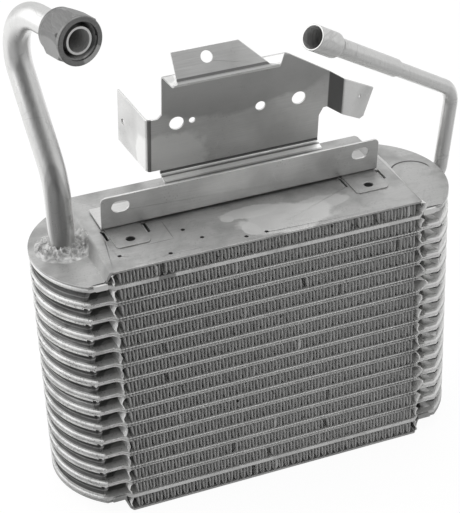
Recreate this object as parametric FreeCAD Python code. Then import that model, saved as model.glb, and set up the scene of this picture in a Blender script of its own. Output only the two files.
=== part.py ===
import FreeCAD, Part
import math
import os

from FreeCAD import Vector

# Plate-and-fin evaporator core. X runs along the fin rows, Y front to back, Z up.
# The origin is the middle of the flat face that the core stands on. Millimetres.

# Core
fin_rows = 16
fin_height = 10.3
fin_thickness = 0.3
fin_folds = 32
fin_block_length = 234.0
fin_setback = 0.6
tube_height = 2.9
core_depth = 114.4
side_plate = 1.6
side_plate_bend = 1.0

# End tanks
tank_radius = 67.5
tank_centre = 94.3
tank_shoulder = 4.2
tank_gap = 2.0
tank_lap = 2.2
belt_height = 5.3
cup_inset = 1.75
cup_start = 134.0
cup_corner = 1.6
cap_drop = 9.8
ramp_gap = 1.6
ramp_run = 4.0
lip_length = 10.5
lip_inset = 1.9
lip_drop = 4.7
lip_corner = 1.5

# Marks and openings in the top side plate
blank_radius = 15.5
blank_depth = 0.4
blank_place = (140.0, 3.5)
pin_hole = 2.4
pin_holes = [(-107.1, -38.1), (-73.1, -49.4), (-54.4, -22.5)]
pin_holes += [(-45.5, -37.9), (-16.4, -50.2), (-0.8, -50.0)]
relief_width = 3.0
relief_length = 15.0
relief_gap = 2.5

# Mounting rail and its feet
foot_length = 26.0
foot_inset = 15.5
foot_thickness = 1.0
foot_front = -29.0
foot_corner = 6.0
foot_hole = 7.0
foot_hole_place = -20.0
rail_sheet = 1.6
rail_bend = 1.2
rail_length = 217.0
rail_front = -1.5
rail_back = 29.5
rail_height = 27.0
rail_lean = 7.5
rail_slot_width = 9.5
rail_slot_length = 13.5
rail_slot_inset = 14.7
rail_slot_height = 17.5
rail_corner = 4.0

# Valve bracket
bracket_sheet = 1.6
bracket_bend = 2.0
bracket_lean = 9.0
web_left = -46.6
web_right = 81.4
web_height = 87.2
web_back = 48.3
web_rise = 5.1
seat_front = 6.0
web_hole_height = 43.6
web_holes = [(-33.5, 11.2), (-21.4, 4.8), (32.8, 7.8), (63.8, 11.0)]
shelf_depth = 19.75
shelf_drop = 2.7
shelf_left = -45.0
shelf_right = 50.3
shelf_taper_left = 5.4
shelf_taper_right = 13.7
tab_height = 28.5
tab_lean = 40.0
tab_left = -38.6
tab_right = 13.0
tab_shoulder = 33.0
tab_shoulder_height = 6.9
tab_hole = 9.0
tab_hole_place = (-13.0, 21.0)
wing_reach = 46.5
wing_flare = 8.0
wing_offset = 9.9
wing_bottom = 4.5
wing_top = 50.4
wing_hole = 5.0
wing_hole_place = (38.1, 26.1)
arm_bend_place = 87.8
arm_top = 62.0
arm_bottom = 30.0
arm_fall = 0.70
arm_step = 12.25
arm_forward = 10.0
arm_back = 30.0
arm_tab_top = 41.3
arm_tab_bottom = 28.8
arm_hole = 3.0
arm_hole_place = (22.3, 26.2)

# Suction tube, its nut and its brazed foot
suction_outer = 19.05
suction_bore = 16.0
suction_port = (-136.6, 5.2)
suction_rise = 257.4
suction_second_turn = (-151.1, 59.8, 378.3)
suction_mouth = (-123.4, -42.4, 380.4)
suction_first_radius = 69.0
suction_second_radius = 35.9
bead_outer = 24.4
bead_length = 2.4
nut_across_flats = 31.75
nut_collar = 33.8
nut_collar_length = 2.9
nut_length = 28.0
nut_neck = 30.6
nut_neck_length = 4.0
nut_rear_chamfer = 4.8
nut_thread = 26.4
nut_wall = 8.0
nut_clearance = 0.15
nut_overhang = 2.0
nut_turn = 48.0
nut_front_chamfer = 1.7
nut_rim = 0.6
braze_width = 3.2
braze_height = 6.5

# Liquid line
liquid_outer = 11.1
liquid_bore = 9.1
liquid_turn = (176.6, 10.0, 259.8)
liquid_mouth = (35.8, -51.7, 355.2)
liquid_turn_radius = 19.5
liquid_elbow = (168.0, 12.0)
liquid_elbow_drop = 16.0
liquid_elbow_radius = 12.0
socket_sheet = 1.15
socket_outer = 18.4
socket_length = 24.0
socket_taper = 6.0
socket_reach = 101.0
socket_overlap = 12.0
socket_clearance = 0.05

# Worked out from the sizes above
tube_pitch = fin_height + tube_height
tube_count = fin_rows - 1
core_height = fin_rows * fin_height + tube_count * tube_height + 2 * side_plate
half_block = fin_block_length / 2
half_depth = core_depth / 2
half_tank = half_depth - tank_shoulder
tank_start = half_block + tank_gap
foot_place = rail_length / 2 - foot_inset
cap_top = core_height - cap_drop
cap_underside = cap_top - side_plate
ramp_top = half_block + ramp_gap
ramp_foot = ramp_top + ramp_run


def tube_middle(row):
    """Height of the middle of a tube, counted from the lowest one."""
    return side_plate + fin_height + tube_height / 2 + row * tube_pitch


def prism(points, direction):
    """A closed outline of points, pushed along a direction."""
    wire = Part.makePolygon(points + [points[0]])
    return Part.Face(wire).extrude(direction)


def outline_face(edges):
    return Part.Face(Part.Wire(Part.__sortEdges__(edges)))


def turned(profile):
    """A solid of revolution about Z from pairs of radius and height."""
    points = [Vector(radius, 0, height) for radius, height in profile]
    wire = Part.makePolygon(points + [points[0]])
    return Part.Face(wire).revolve(Vector(0, 0, 0), Vector(0, 0, 1), 360)


def laid_along(shape, start, axis):
    """Move a shape built on Z from the origin so that it runs from start along the axis."""
    place = FreeCAD.Placement(start, FreeCAD.Rotation(Vector(0, 0, 1), axis))
    shape.Placement = place.multiply(shape.Placement)
    return shape


def corner_arc(before, corner, after, radius):
    """Start, middle and end of the arc that rounds a corner between two straight runs."""
    back = (before - corner).normalize()
    ahead = (after - corner).normalize()
    half_angle = back.getAngle(ahead) / 2
    along = radius / math.tan(half_angle)
    bisector = (back + ahead).normalize()
    middle = corner + bisector * (radius / math.sin(half_angle) - radius)
    return corner + back * along, middle, corner + ahead * along


def rounded_path(points, radii):
    """Straight runs through the points, joined by tangent arcs of the given radii."""
    edges = []
    start = points[0]
    for index, radius in enumerate(radii):
        corner = points[index + 1]
        first, middle, last = corner_arc(points[index], corner, points[index + 2], radius)
        edges.append(Part.LineSegment(start, first).toShape())
        edges.append(Part.Arc(first, middle, last).toShape())
        start = last
    edges.append(Part.LineSegment(start, points[-1]).toShape())
    return Part.Wire(edges)


def swept(path, radius):
    """A round bar of the radius along the path."""
    edge = path.Edges[0]
    circle = Part.Circle(edge.Vertexes[0].Point, edge.tangentAt(edge.FirstParameter), radius)
    return path.makePipeShell([Part.Wire(circle.toShape())], True, False)


def sheet_section(points, thickness, inner_radius, normal):
    """Section of a folded sheet whose middle line runs through the points, in the plane of the normal."""
    middle_radius = inner_radius + thickness / 2
    sides = []
    for side in (1, -1):
        offset = []
        for index, point in enumerate(points):
            before = points[max(index - 1, 0)]
            after = points[min(index + 1, len(points) - 1)]
            incoming = (point - before).normalize() if index else (after - point).normalize()
            outgoing = (after - point).normalize() if index < len(points) - 1 else incoming
            across = (normal.cross(incoming) + normal.cross(outgoing)).normalize()
            reach = thickness / 2 / across.dot(normal.cross(incoming))
            offset.append(point + across * (side * reach))
        radii = []
        for index in range(1, len(points) - 1):
            turn = (points[index] - points[index - 1]).cross(points[index + 1] - points[index]).dot(normal)
            radii.append(middle_radius - side * math.copysign(thickness / 2, turn))
        sides.append(rounded_path(offset, radii))
    ends = []
    for end in (0, -1):
        first = sides[0].OrderedVertexes[end].Point
        last = sides[1].OrderedVertexes[end].Point
        ends.append(Part.LineSegment(first, last).toShape())
    return outline_face(sides[0].Edges + sides[1].Edges + ends)


def tank_face(side, inset, height):
    """Plan of one end tank at a height: straight flanks that run into a round end."""
    radius = tank_radius - inset
    half = half_tank - inset
    start = side * (tank_start + inset)
    tangent = side * (tank_centre + math.sqrt(radius ** 2 - half ** 2))
    end = side * (tank_centre + radius)
    front_start = Vector(start, -half, height)
    front_end = Vector(tangent, -half, height)
    back_start = Vector(start, half, height)
    back_end = Vector(tangent, half, height)
    edges = [
        Part.LineSegment(front_start, front_end).toShape(),
        Part.Arc(front_end, Vector(end, 0, height), back_end).toShape(),
        Part.LineSegment(back_end, back_start).toShape(),
        Part.LineSegment(back_start, front_start).toShape(),
    ]
    return outline_face(edges)


def core_face(height):
    """Plan of the flat part of a tube, with its corners cut back to the tanks' flanks."""
    outer = tank_start + tank_lap
    corners = [(outer, half_tank), (half_block, half_depth), (-half_block, half_depth), (-outer, half_tank)]
    points = [Vector(x, y, height) for x, y in corners]
    points += [Vector(x, -y, height) for x, y in reversed(corners)]
    return Part.Face(Part.makePolygon(points + [points[0]]))


def tank_level(side, inset, bottom, top):
    """One level of a tank's cups, which start beyond the open neck and have round inner corners."""
    inner = cup_start + inset
    block = tank_face(side, inset, bottom).extrude(Vector(0, 0, top - bottom))
    neck = Part.makeBox(inner, core_depth, top - bottom, Vector(min(side * inner, 0), -half_depth, bottom))
    block = block.cut(neck)
    upright = []
    for edge in block.Edges:
        box = edge.BoundBox
        if box.ZLength > box.XLength and abs(abs(box.Center.x) - inner) < cup_corner / 2:
            upright.append(edge)
    return block.makeFillet(cup_corner, upright)


# Tubes: two plates brazed rim to rim, with a cup at each end that reaches up to the next tube
def tube(row):
    middle = tube_middle(row)
    belt_bottom = middle - belt_height / 2
    belt_top = middle + belt_height / 2
    if row == 0:
        belt_bottom = core_height - cap_underside
        belt_top = middle + tube_height / 2
    if row == tube_count - 1:
        belt_bottom = middle - tube_height / 2
        belt_top = cap_underside
    flat_bottom = middle - tube_height / 2
    shape = core_face(flat_bottom).extrude(Vector(0, 0, tube_height))
    for side in (-1, 1):
        flange = tank_face(side, 0, flat_bottom).extrude(Vector(0, 0, tube_height))
        shape = shape.fuse(flange).fuse(tank_level(side, 0, belt_bottom, belt_top))
        if row == tube_count - 1:
            continue
        cup_top = tube_middle(row + 1) - belt_height / 2
        if row + 1 == tube_count - 1:
            cup_top = tube_middle(row + 1) - tube_height / 2
        shape = shape.fuse(tank_level(side, cup_inset, belt_top, cup_top))
    return shape.removeSplitter()


# Fins: one sheet folded to and fro between two tubes
def fin_row(row):
    bottom = side_plate + row * tube_pitch
    top = bottom + fin_height
    step = fin_block_length / (2 * fin_folds)
    slope = math.hypot(step, fin_height) / step
    upright = fin_thickness * slope
    front = -half_depth + fin_setback
    upper = []
    lower = []
    for index in range(2 * fin_folds + 1):
        x = -half_block + index * step
        crest = index % 2 == 1
        upper.append(Vector(x, front, top if crest else bottom + upright))
        lower.append(Vector(x, front, top - upright if crest else bottom))
    return prism(upper + lower[::-1], Vector(0, core_depth - 2 * fin_setback, 0))


# Side plates: a raised middle over the fins, and a lowered cap over each tank
def cap_lip(side, flank):
    """A lip folded down over the flank of a cap, which hides the open neck of the topmost tube."""
    outer = cup_start - lip_inset
    inner = outer - lip_length
    bottom = cap_top - lip_drop
    points = [
        Vector(side * inner, flank * half_tank, cap_top),
        Vector(side * inner, flank * half_tank, bottom),
        Vector(side * (outer - lip_corner), flank * half_tank, bottom),
        Vector(side * outer, flank * half_tank, bottom + lip_corner),
        Vector(side * outer, flank * half_tank, cap_top),
    ]
    lip = prism(points, Vector(0, flank * side_plate, 0))
    bend = []
    for edge in lip.Edges:
        box = edge.BoundBox
        outside = abs(box.Center.y) > half_tank + side_plate / 2
        if outside and box.Center.z > cap_top - lip_corner / 2 and box.XLength > box.ZLength:
            bend.append(edge)
    return lip.makeFillet(side_plate_bend, bend)


def side_plate_shape():
    level = core_height - side_plate / 2
    cap_level = cap_top - side_plate / 2
    reach = tank_centre + tank_radius
    half = [(ramp_top, level), (ramp_foot, cap_level), (reach, cap_level)]
    points = [Vector(-x, -half_depth, z) for x, z in reversed(half)]
    points += [Vector(x, -half_depth, z) for x, z in half]
    section = sheet_section(points, side_plate, side_plate_bend, Vector(0, 1, 0))
    sheet = section.extrude(Vector(0, core_depth, 0))
    plan = core_face(0).extrude(Vector(0, 0, core_height))
    for side in (-1, 1):
        plan = plan.fuse(tank_face(side, 0, 0).extrude(Vector(0, 0, core_height)))
    plate = sheet.common(plan.removeSplitter())
    for side in (-1, 1):
        for flank in (-1, 1):
            plate = plate.fuse(cap_lip(side, flank))
    return plate.removeSplitter()


def drill(x, y, diameter, bottom, height):
    return Part.makeCylinder(diameter / 2, height, Vector(x, y, bottom))


def slot_cutter(length, width, depth):
    """A round-ended slot lying along X in the XZ plane, centred on the origin, cut along Y."""
    run = (length - width) / 2
    radius = width / 2
    top_left = Vector(-run, -depth / 2, radius)
    top_right = Vector(run, -depth / 2, radius)
    low_left = Vector(-run, -depth / 2, -radius)
    low_right = Vector(run, -depth / 2, -radius)
    edges = [
        Part.LineSegment(top_left, top_right).toShape(),
        Part.Arc(top_right, Vector(run + radius, -depth / 2, 0), low_right).toShape(),
        Part.LineSegment(low_right, low_left).toShape(),
        Part.Arc(low_left, Vector(-run - radius, -depth / 2, 0), top_left).toShape(),
    ]
    return outline_face(edges).extrude(Vector(0, depth, 0))


def top_side_plate():
    plate = side_plate_shape()
    below = core_height - 2 * side_plate
    for x, y in pin_holes:
        plate = plate.cut(drill(x, y, pin_hole, below, 3 * side_plate))
    for side in (-1, 1):
        for end in (-1, 1):
            x = side * foot_place + end * (foot_length / 2 + relief_gap)
            slot = slot_cutter(relief_length, relief_width, 3 * side_plate)
            slot.rotate(Vector(0, 0, 0), Vector(1, 0, 0), 90)
            slot.rotate(Vector(0, 0, 0), Vector(0, 0, 1), 90)
            slot.translate(Vector(x, -relief_length / 2, core_height))
            plate = plate.cut(slot)
    blank = drill(blank_place[0], blank_place[1], 2 * blank_radius, cap_top - blank_depth, side_plate)
    port = drill(suction_port[0], suction_port[1], suction_outer, cap_underside - side_plate, 3 * side_plate)
    return plate.cut(blank).cut(port)


def bottom_side_plate():
    plate = side_plate_shape()
    return plate.mirror(Vector(0, 0, core_height / 2), Vector(0, 0, 1))


# Feet: thin plates on the side plate that carry the rail
foot_top = core_height + foot_thickness


def rail_foot(side):
    left = side * foot_place - foot_length / 2
    right = left + foot_length
    points = [
        Vector(left, rail_back, core_height),
        Vector(left, foot_front + foot_corner, core_height),
        Vector(left + foot_corner, foot_front, core_height),
        Vector(right - foot_corner, foot_front, core_height),
        Vector(right, foot_front + foot_corner, core_height),
        Vector(right, rail_back, core_height),
    ]
    plate = prism(points, Vector(0, 0, foot_thickness))
    hole = drill(side * foot_place, foot_hole_place, foot_hole, core_height, foot_thickness)
    return plate.cut(hole)


# Mounting rail: an angle whose front leg leans forward and has a slot near each end
rail_top = foot_top + rail_sheet


def mounting_rail():
    lean = math.radians(rail_lean)
    level = foot_top + rail_sheet / 2
    bend = rail_front + rail_sheet / 2
    rise = Vector(0, -math.sin(lean), math.cos(lean))
    corner = Vector(-rail_length / 2, bend, level)
    points = [Vector(-rail_length / 2, rail_back, level), corner, corner + rise * rail_height]
    section = sheet_section(points, rail_sheet, rail_bend, Vector(1, 0, 0))
    rail = section.extrude(Vector(rail_length, 0, 0))
    top_edges = []
    for edge in rail.Edges:
        box = edge.BoundBox
        short = edge.Length < rail_sheet * 1.2
        at_end = abs(abs(box.Center.x) - rail_length / 2) < rail_sheet / 2
        if short and at_end and box.Center.z > level + rail_height / 2:
            top_edges.append(edge)
    rail = rail.makeFillet(rail_corner, top_edges)
    for side in (-1, 1):
        slot = slot_cutter(rail_slot_length, rail_slot_width, 4 * rail_sheet)
        slot.rotate(Vector(0, 0, 0), Vector(1, 0, 0), rail_lean)
        place = corner + rise * rail_slot_height
        slot.translate(Vector(side * (rail_length / 2 - rail_slot_inset), place.y, place.z))
        rail = rail.cut(slot)
    return rail


# Valve bracket: one folded sheet, drawn upright with its web in the plane y = 0
def bracket_upright(point_y, point_z):
    """Where a point beside the leaning web lies when the web is drawn upright."""
    lean = math.radians(bracket_lean)
    y = point_y * math.cos(lean) + point_z * math.sin(lean)
    z = point_z * math.cos(lean) - point_y * math.sin(lean)
    return Vector(web_left, y, z)


def bracket_profile_sheet():
    """Seat, slope, web, shelf and tab, as one folded strip as wide as the web."""
    tilt = math.radians(tab_lean)
    seat_back = rail_back + rail_sheet / 2
    shelf_end = Vector(web_left, -shelf_depth, web_height - shelf_drop)
    points = [
        bracket_upright(seat_front - web_back, -web_rise),
        bracket_upright(seat_back - web_back, -web_rise),
        Vector(web_left, 0, 0),
        Vector(web_left, 0, web_height),
        shelf_end,
        shelf_end + Vector(0, math.sin(tilt), math.cos(tilt)) * tab_height,
    ]
    section = sheet_section(points, bracket_sheet, bracket_bend, Vector(1, 0, 0))
    return section.extrude(Vector(web_right - web_left, 0, 0))


def bracket_side_sheet():
    """Wing, web and arm, as one folded strip as tall as the web."""
    flare = math.radians(wing_flare)
    forward = math.radians(arm_forward)
    back = math.radians(arm_back)
    low = 2 * bracket_bend
    wing_bend = Vector(web_left - wing_offset, 0, low)
    arm_bend = Vector(arm_bend_place, 0, low)
    tab_bend = arm_bend + Vector(math.cos(forward), -math.sin(forward), 0) * arm_step
    points = [
        wing_bend + Vector(-math.sin(flare), math.cos(flare), 0) * wing_reach,
        wing_bend,
        arm_bend,
        tab_bend,
        tab_bend + Vector(math.cos(back), math.sin(back), 0) * (arm_tab_top + arm_step),
    ]
    section = sheet_section(points, bracket_sheet, bracket_bend, Vector(0, 0, 1))
    return section.extrude(Vector(0, 0, web_height - 2 * low))


def valve_bracket():
    tilt = math.radians(tab_lean)
    forward = math.cos(math.radians(arm_forward))
    back = math.cos(math.radians(arm_back))
    shelf_top = web_height + bracket_sheet / 2
    step_x = arm_bend_place + arm_step * forward
    step_fall = arm_fall * arm_step
    tab_foot = web_height - shelf_drop
    tab_top = tab_foot + tab_height * math.cos(tilt)
    tab_slope = tab_foot + tab_shoulder_height * math.cos(tilt)
    outline = [
        (web_left, -tab_height),
        (web_right, -tab_height),
        (web_right, arm_bottom - 4 * bracket_sheet),
        (arm_bend_place - 2 * bracket_sheet, arm_bottom),
        (arm_bend_place, arm_bottom),
        (step_x, arm_bottom - step_fall),
        (step_x + arm_tab_bottom * back, arm_bottom - step_fall - arm_fall * arm_tab_bottom),
        (step_x + arm_tab_top * back, arm_top - step_fall - arm_fall * arm_tab_top),
        (step_x, arm_top - step_fall),
        (arm_bend_place, arm_top),
        (shelf_right, web_height),
        (shelf_right, shelf_top),
        (tab_shoulder, tab_slope),
        (tab_right, tab_top),
        (tab_right, tab_top + bracket_sheet),
        (tab_left, tab_top + bracket_sheet),
        (tab_left, shelf_top),
        (shelf_left, shelf_top),
        (shelf_left, wing_top + 2 * bracket_sheet),
        (shelf_left - 2 * bracket_sheet, wing_top),
        (web_left - wing_reach, wing_top),
        (web_left - wing_reach, wing_bottom),
        (web_left - wing_offset, wing_bottom),
        (web_left, 0),
    ]
    depth = shelf_depth + wing_reach + arm_tab_top
    trim = prism([Vector(x, -depth, z) for x, z in outline], Vector(0, 2 * depth, 0))
    strip = bracket_profile_sheet()
    side = bracket_side_sheet()
    bracket = strip.fuse(side).common(trim)
    front = -shelf_depth - bracket_sheet
    below = tab_foot - 2 * bracket_bend
    for edge, taper in ((shelf_left, shelf_taper_left), (shelf_right, -shelf_taper_right)):
        points = [
            Vector(edge, -bracket_sheet, below),
            Vector(edge + taper, front, below),
            Vector(edge - taper, front, below),
            Vector(edge - taper, -bracket_sheet, below),
        ]
        bracket = bracket.cut(prism(points, Vector(0, 0, tab_slope - below)))
    for x, diameter in web_holes:
        bracket = bracket.cut(bracket_hole(Vector(x, 0, web_hole_height), Vector(0, 1, 0), diameter))
    tab_along = Vector(0, math.sin(tilt), math.cos(tilt))
    tab_across = Vector(0, math.cos(tilt), -math.sin(tilt))
    tab_start = Vector(0, -shelf_depth, tab_foot)
    place = tab_start + Vector(tab_hole_place[0], 0, 0) + tab_along * tab_hole_place[1]
    bracket = bracket.cut(bracket_hole(place, tab_across, tab_hole))
    flare = math.radians(wing_flare)
    wing_along = Vector(-math.sin(flare), math.cos(flare), 0)
    place = Vector(web_left - wing_offset, 0, wing_hole_place[1]) + wing_along * wing_hole_place[0]
    bracket = bracket.cut(bracket_hole(place, wing_along.cross(Vector(0, 0, 1)), wing_hole))
    turn = math.radians(arm_back)
    arm_along = Vector(math.cos(turn), math.sin(turn), 0)
    place = Vector(step_x, -arm_step * math.sin(math.radians(arm_forward)), arm_hole_place[1])
    place = place + arm_along * arm_hole_place[0]
    bracket = bracket.cut(bracket_hole(place, arm_along.cross(Vector(0, 0, 1)), arm_hole))
    bracket = bracket.removeSplitter()
    bracket.rotate(Vector(0, 0, 0), Vector(1, 0, 0), bracket_lean)
    bracket.translate(Vector(0, web_back, rail_top + bracket_sheet / 2 + web_rise))
    return bracket


def bracket_hole(place, axis, diameter):
    return Part.makeCylinder(diameter / 2, 4 * bracket_sheet, place - axis * 2 * bracket_sheet, axis)


# Suction tube: rises from the left tank, leans back and hooks forward to its nut
suction_foot = Vector(suction_port[0], suction_port[1], cap_underside)
suction_bend = Vector(suction_port[0], suction_port[1], suction_rise)
suction_end = Vector(*suction_mouth)
suction_axis = (suction_end - Vector(*suction_second_turn)).normalize()
nut_rear = suction_end + suction_axis * (nut_overhang - nut_length)


def suction_tube():
    points = [suction_foot, suction_bend, Vector(*suction_second_turn), suction_end]
    path = rounded_path(points, [suction_first_radius, suction_second_radius])
    shape = swept(path, suction_outer / 2)
    bead = Part.makeCylinder(bead_outer / 2, bead_length)
    shape = shape.fuse(laid_along(bead, nut_rear + suction_axis * nut_wall, suction_axis))
    return shape.cut(swept(path, suction_bore / 2))


def suction_nut():
    """A hexagon between a round neck and a round collar, with a bore for the thread."""
    neck = nut_neck / 2
    corner = nut_across_flats / math.sqrt(3)
    shank = nut_length - nut_collar_length
    blank = turned([(0, 0), (neck - nut_rim, 0), (neck, nut_rim), (neck, nut_neck_length),
                    (corner, nut_neck_length + nut_rear_chamfer), (corner, shank - nut_front_chamfer),
                    (nut_collar / 2, shank), (0, shank)])
    points = []
    for number in range(6):
        angle = math.radians(60 * number + nut_turn)
        points.append(Vector(corner * math.cos(angle), corner * math.sin(angle), 0))
    collar = turned([(0, shank), (nut_collar / 2, shank), (nut_collar / 2, nut_length - nut_rim),
                     (nut_collar / 2 - nut_rim, nut_length), (0, nut_length)])
    passage = suction_outer / 2 + nut_clearance
    hollow = turned([(0, 0), (passage, 0), (passage, nut_wall), (nut_thread / 2, nut_wall),
                     (nut_thread / 2, nut_length), (0, nut_length)])
    nut = prism(points, Vector(0, 0, shank)).common(blank).fuse(collar).cut(hollow).removeSplitter()
    return laid_along(nut, nut_rear, suction_axis)


def suction_braze():
    """A ring of filler round the foot of the suction tube."""
    inner = suction_outer / 2
    ring = turned([(inner, 0), (inner + braze_width, 0), (inner, braze_height)])
    ring.translate(Vector(suction_port[0], suction_port[1], cap_top))
    return ring


# Liquid line: a thin tube out of the right tank, swaged into a wider tube with an open socket
liquid_corner = Vector(*liquid_turn)
liquid_end = Vector(*liquid_mouth)
liquid_axis = (liquid_end - liquid_corner).normalize()
liquid_low = Vector(liquid_elbow[0], liquid_elbow[1], cap_top - liquid_elbow_drop)
liquid_inward = (Vector(tank_centre, 0, liquid_low.z) - liquid_low).normalize()
liquid_entry = liquid_low + liquid_inward * (liquid_elbow_radius + liquid_bore / 2)


def liquid_tube():
    inner_end = liquid_end - liquid_axis * (socket_reach - socket_overlap)
    points = [liquid_entry, liquid_low, liquid_corner, inner_end]
    path = rounded_path(points, [liquid_elbow_radius, liquid_turn_radius])
    shape = swept(path, liquid_outer / 2).cut(swept(path, liquid_bore / 2))
    tank = tank_face(1, 0, 0).extrude(Vector(0, 0, core_height))
    return shape.cut(tank)


def liquid_socket_tube():
    bore = liquid_outer / 2 + socket_clearance
    outer = bore + socket_sheet
    cup_outer = socket_outer / 2
    cup_bore = cup_outer - socket_sheet
    cup = socket_reach - socket_length
    neck = cup - socket_taper
    wall = turned([(bore, 0), (outer, 0), (outer, neck), (cup_outer, cup),
                   (cup_outer, socket_reach), (cup_bore, socket_reach), (cup_bore, cup), (bore, neck)])
    return laid_along(wall, liquid_end - liquid_axis * socket_reach, liquid_axis)


nodes = {
    "top_side_plate": top_side_plate(),
    "bottom_side_plate": bottom_side_plate(),
    "rail_foot_left": rail_foot(-1),
    "rail_foot_right": rail_foot(1),
    "mounting_rail": mounting_rail(),
    "valve_bracket": valve_bracket(),
    "suction_tube": suction_tube(),
    "suction_nut": suction_nut(),
    "suction_braze": suction_braze(),
    "liquid_tube": liquid_tube(),
    "liquid_socket_tube": liquid_socket_tube(),
}
for row in range(fin_rows):
    nodes["fin_row_%02d" % (row + 1)] = fin_row(row)
for row in range(tube_count):
    nodes["tube_%02d" % (row + 1)] = tube(row)

os.makedirs("parts", exist_ok=True)
for name, shape in nodes.items():
    if len(shape.Solids) == 1:
        shape = shape.Solids[0]
    if not shape.isValid():
        print("not valid:", name)
    print(name, len(shape.Solids), round(shape.Volume, 1))
    shape.exportStep("parts/" + name + ".step")
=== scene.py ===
import math
import random

import bmesh
import bpy
from mathutils import Matrix, Quaternion, Vector, noise


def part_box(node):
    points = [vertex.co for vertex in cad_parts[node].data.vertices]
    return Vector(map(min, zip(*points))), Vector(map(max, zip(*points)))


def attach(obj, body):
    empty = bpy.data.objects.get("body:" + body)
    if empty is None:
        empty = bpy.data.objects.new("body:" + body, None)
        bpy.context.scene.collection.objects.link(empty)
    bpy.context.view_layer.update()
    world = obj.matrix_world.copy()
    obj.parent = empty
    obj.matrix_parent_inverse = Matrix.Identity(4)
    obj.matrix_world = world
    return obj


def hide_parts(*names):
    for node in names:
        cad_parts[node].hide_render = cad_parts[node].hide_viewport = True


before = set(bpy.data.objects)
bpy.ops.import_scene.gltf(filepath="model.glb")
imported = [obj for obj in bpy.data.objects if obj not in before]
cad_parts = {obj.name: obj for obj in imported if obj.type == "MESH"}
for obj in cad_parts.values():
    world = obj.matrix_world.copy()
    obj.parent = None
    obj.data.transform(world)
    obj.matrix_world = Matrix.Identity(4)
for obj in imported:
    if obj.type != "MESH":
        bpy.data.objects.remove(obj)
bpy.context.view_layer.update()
scene = bpy.context.scene
mm = 0.001
up = Vector((0, 0, 1))
white = (1, 1, 1, 1)
warmth = 0.99  # the blue of a metal's grey, as a share
tubePitch, firstMiddle, beltHeight = 13.2, 13.35, 5.3  # the stack of tubes and their belts, in mm
plateTop, capTop = 211.5, 201.7  # the levels of the top plate and of its caps, in mm


# Helpers for node trees

def addNode(tree, kind, inputs=None, **properties):
    node = tree.nodes.new(kind)
    for name, value in properties.items():
        setattr(node, name, value)
    for key, value in (inputs or {}).items():
        if isinstance(value, bpy.types.NodeSocket):
            tree.links.new(value, node.inputs[key])
        else:
            node.inputs[key].default_value = value
    return node


def newGroup(name, inputs):
    tree = bpy.data.node_groups.new(name, "ShaderNodeTree")
    for label, kind, value in inputs:
        socket = tree.interface.new_socket(label, in_out="INPUT", socket_type=kind)
        socket.default_value = value
    tree.interface.new_socket("Mask", in_out="OUTPUT", socket_type="NodeSocketFloat")
    given = tree.nodes.new("NodeGroupInput").outputs
    made = tree.nodes.new("NodeGroupOutput").inputs["Mask"]
    return tree, given, made


def useGroup(tree, group, **inputs):
    return addNode(tree, "ShaderNodeGroup", inputs, node_tree=group).outputs["Mask"]


def noiseOf(tree, place, scale, detail, stretch=(1, 1, 1)):
    mapping = addNode(tree, "ShaderNodeMapping", {"Vector": place, "Scale": stretch})
    inputs = {"Vector": mapping.outputs["Vector"], "Scale": scale, "Detail": detail}
    return addNode(tree, "ShaderNodeTexNoise", inputs).outputs["Fac"]


def ranged(tree, value, low, high, start=0.0, end=1.0):
    inputs = {"Value": value, "From Min": low, "From Max": high, "To Min": start, "To Max": end}
    return addNode(tree, "ShaderNodeMapRange", inputs).outputs["Result"]


def rangedMm(tree, value, limits, start=0.0, end=1.0):
    return ranged(tree, value, limits[0] * mm, limits[1] * mm, start, end)


def maths(tree, operation, first, *others):  # more than two values are taken in turn
    for other in others or (0.0,):
        first = addNode(tree, "ShaderNodeMath", {0: first, 1: other}, operation=operation).outputs[0]
    return first


def vectorMaths(tree, operation, first, second=(0, 0, 0), result="Vector"):
    node = addNode(tree, "ShaderNodeVectorMath", {0: first, 1: second}, operation=operation)
    return node.outputs[result]


def axesOf(tree, place):
    return addNode(tree, "ShaderNodeSeparateXYZ", {0: place}).outputs


def grey(tone):  # a number becomes a metal's grey, and a socket stays as it is
    return tone if isinstance(tone, bpy.types.NodeSocket) else (tone, tone, tone * warmth, 1)


def mixed(tree, factor, first, second):
    inputs = {0: factor, 6: grey(first), 7: grey(second)}
    return addNode(tree, "ShaderNodeMix", inputs, data_type="RGBA").outputs[2]


# Patterns that the metals share, each a group with one mask

floatIn, vectorIn = "NodeSocketFloat", "NodeSocketVector"
grainNoise = {"detail": 3, "band": (0.3, 0.7)}
patchNoise = {"detail": 6, "top": 0.75, "soft": 0.25}
scratchLines = {
    "turns": (0.5, -0.9), "tilt": (0.2, 0.1), "stretch": (0.05, 1, 1), "detail": 2, "level": 0.5,
    "clumpScale": 45, "clumpTurn": 20, "clumpBand": (0.5, 0.62),
}
speckDots = {"core": 0.4, "clumpScale": 60, "clumpDetail": 3, "top": 0.8, "soft": 0.15}
spotEdge = {"detail": 5, "level": 0.5, "band": (0.86, 1.0)}


def buildGrain():  # rolling or drawing lines, long where Stretch is small
    tree, given, made = newGroup("rolledGrain", [
        ("Place", vectorIn, (0, 0, 0)), ("Stretch", vectorIn, (1, 1, 1)), ("Scale", floatIn, 900)])
    fine = noiseOf(tree, given["Place"], given["Scale"], grainNoise["detail"], given["Stretch"])
    tree.links.new(ranged(tree, fine, *grainNoise["band"]), made)
    return tree


def buildPatches():  # wide soft patches of duller metal
    tree, given, made = newGroup("dullPatches", [
        ("Place", vectorIn, (0, 0, 0)), ("Scale", floatIn, 22), ("Amount", floatIn, 0.3)])
    wide = noiseOf(tree, given["Place"], given["Scale"], patchNoise["detail"])
    low = maths(tree, "SUBTRACT", patchNoise["top"], given["Amount"])
    tree.links.new(ranged(tree, wide, low, maths(tree, "ADD", low, patchNoise["soft"])), made)
    return tree


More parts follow.
